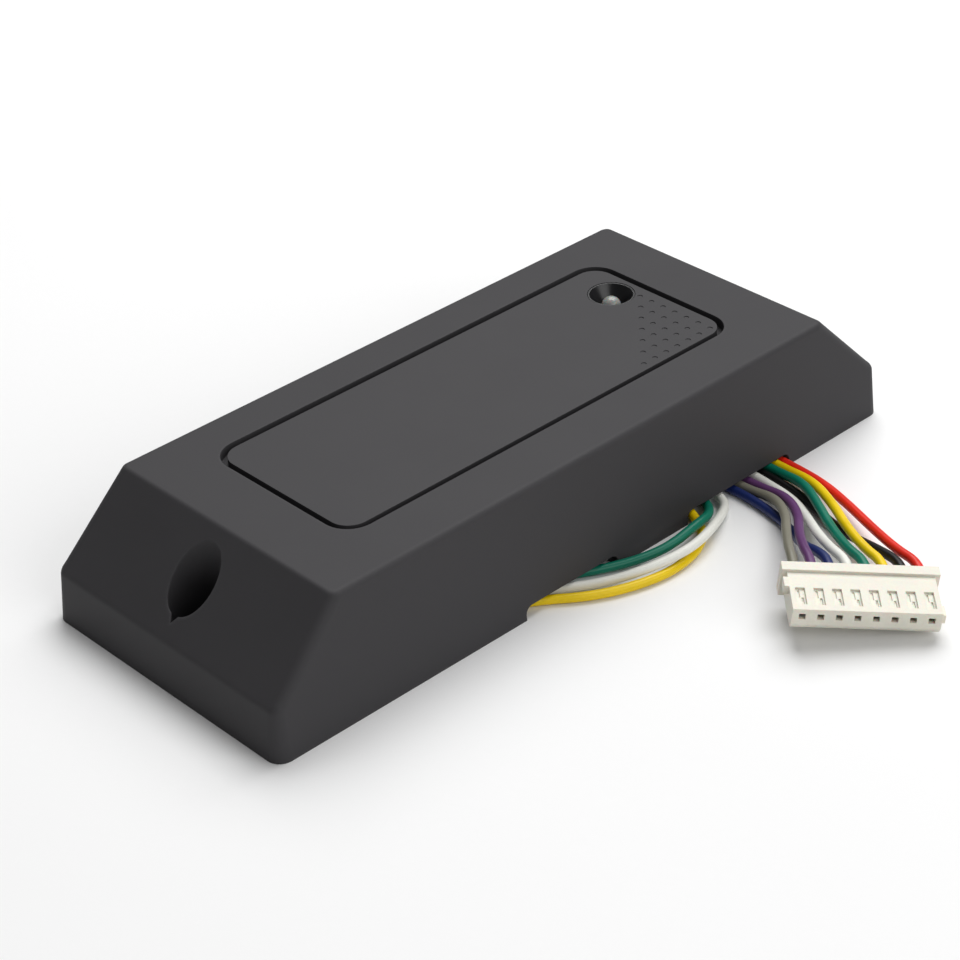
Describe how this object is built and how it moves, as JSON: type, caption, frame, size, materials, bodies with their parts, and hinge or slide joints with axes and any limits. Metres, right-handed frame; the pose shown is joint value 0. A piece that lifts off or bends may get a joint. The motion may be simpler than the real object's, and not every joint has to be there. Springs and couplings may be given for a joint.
{
  "type": "rfid card reader",
  "caption": "Slim potted RFID card reader with bevelled ends, sunk face plate, indicator light and sounder dimples, with a pigtail of coloured wires in a crimp plug.",
  "frame": {"origin": "middle of the case's open back face, which lies on the wall", "axes": "+X along the case towards the indicator light end, +Y away from the long side that the wires leave, +Z out of the wall through the face plate"},
  "size_m": [0.12, 0.0917, 0.02],
  "materials": {
    "case": "fine moulded grain",
    "plate": "fine moulded grain",
    "adhesive": "double sided foam",
    "bezel": "gloss black",
    "led_lens": "clear epoxy",
    "tinned_steel": "tinned",
    "board": "solder mask",
    "copper": "enamelled copper wire",
    "chip": "moulded epoxy",
    "ceramic": "fired ceramic",
    "can": "drawn can",
    "buzzer_case": "moulded",
    "block": "soft moulding",
    "tail_insulation": "extruded",
    "resin": "poured, slightly wavy",
    "housing": "natural nylon",
    "tinned_bronze": "tin plated",
    "grey_insulation": "extruded PVC",
    "purple_insulation": "extruded PVC",
    "blue_insulation": "extruded PVC",
    "white_insulation": "extruded PVC",
    "green_insulation": "extruded PVC",
    "yellow_insulation": "extruded PVC",
    "black_insulation": "extruded PVC",
    "red_insulation": "extruded PVC"
  },
  "bodies": {
    "root": {"front_cover": "case", "face_plate": "plate", "plate_adhesive": "adhesive", "led_bezel": "bezel", "status_led": "led_lens", "led_leads": "tinned_steel", "circuit_board": "board", "antenna_coil": "copper", "microcontroller": "chip", "rfid_chip": "chip", "voltage_regulator": "chip", "protection_diodes": "chip", "transistors": "chip", "chip_resistors": "chip", "chip_capacitors": "ceramic", "crystal": "tinned_steel", "electrolytic_capacitors": "can", "buzzer": "buzzer_case", "cable_block": "block", "wire_tails": "tail_insulation", "solder_joints": "tinned_steel", "potting_resin": "resin", "connector_housing": "housing", "crimp_terminals": "tinned_bronze", "grey_wire": "grey_insulation", "purple_wire": "purple_insulation", "blue_wire": "blue_insulation", "white_wire": "white_insulation", "green_wire": "green_insulation", "yellow_wire": "yellow_insulation", "black_wire": "black_insulation", "red_wire": "red_insulation"}
  },
  "joints": []
}
